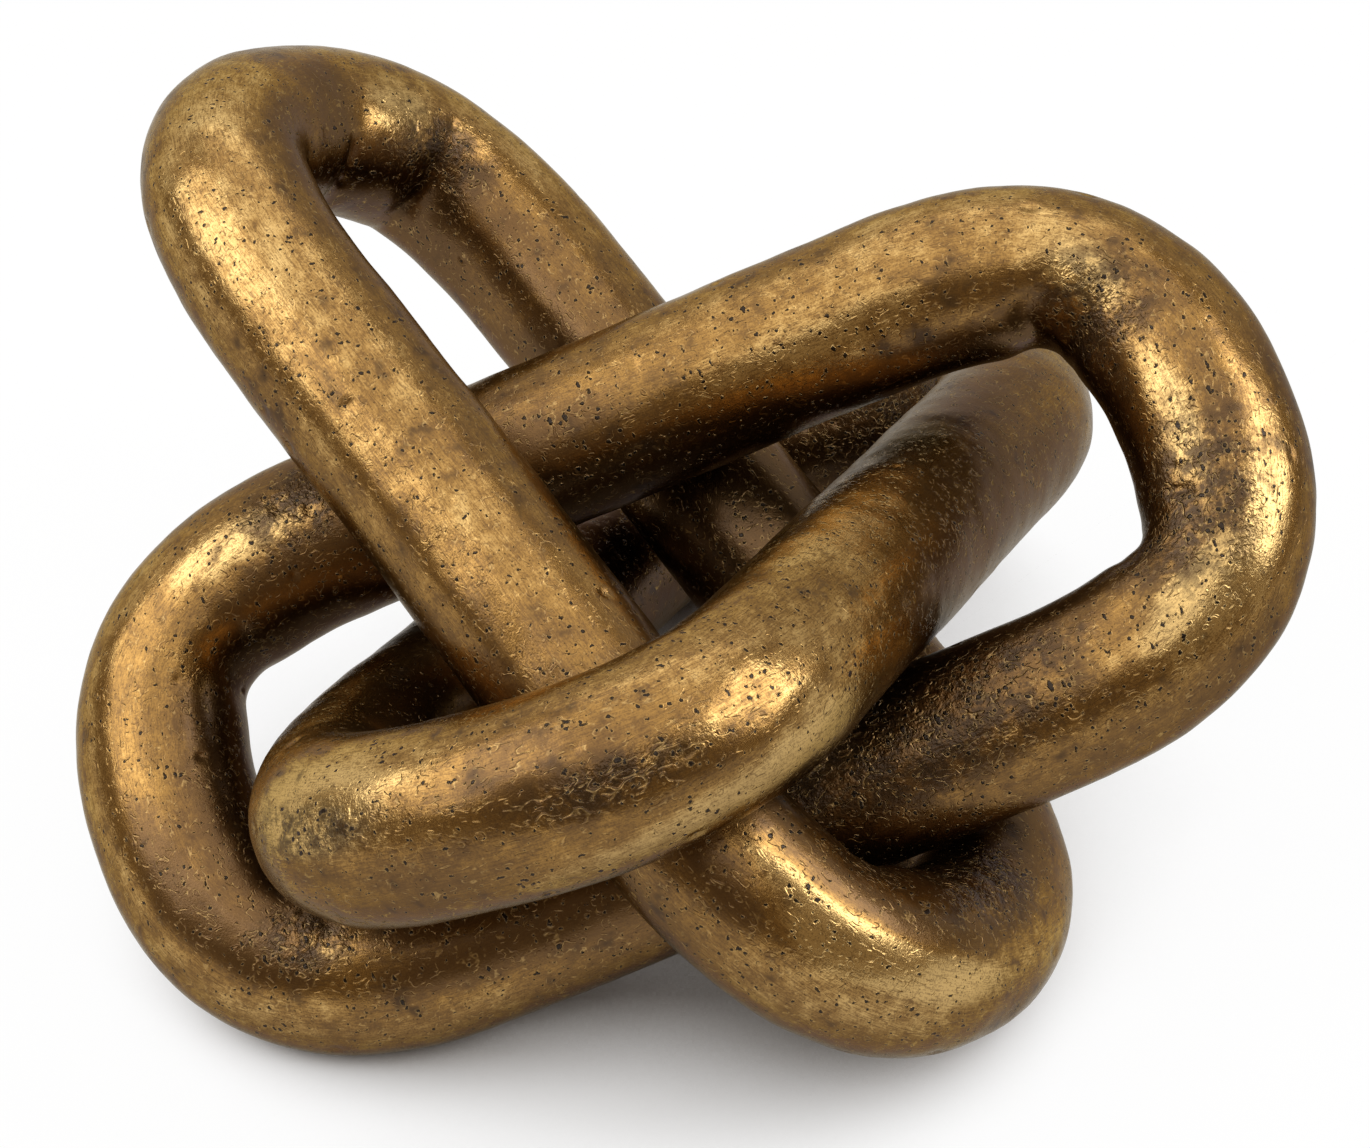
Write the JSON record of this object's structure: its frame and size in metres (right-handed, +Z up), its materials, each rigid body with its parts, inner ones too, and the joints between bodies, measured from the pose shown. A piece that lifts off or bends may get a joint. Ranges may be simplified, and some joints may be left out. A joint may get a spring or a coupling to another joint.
{
  "type": "chain link sculpture",
  "caption": "Table ornament of oval chain links cast from round bar, each threaded through the next, standing on its feet with an antique brass finish.",
  "frame": {"origin": "middle of the bounding box's base, at the height of the ground feet", "axes": "+Z up, +X to the right of the front link's face, the front link's face looks towards -Y and up"},
  "size_m": [0.232, 0.218, 0.1398],
  "materials": {
    "antique_brass": "cast aluminium with an antique brass finish: satin, rubbed bright on the crowns, dark brown in the hollows and pits"
  },
  "bodies": {
    "raised_link": {"raised_link": "antique_brass"},
    "front_link": {"front_link": "antique_brass"},
    "cross_link": {"cross_link": "antique_brass"}
  },
  "joints": [
    {"name": "front_link_slide", "type": "slide", "parent": "raised_link", "child": "front_link", "axis": [-0.5756, 0.6965, 0.4285], "range_m": [0, 0.045]},
    {"name": "cross_link_slide", "type": "slide", "parent": "front_link", "child": "cross_link", "axis": [-0.3874, -0.8788, 0.2787], "range_m": [0, 0.0248]}
  ]
}
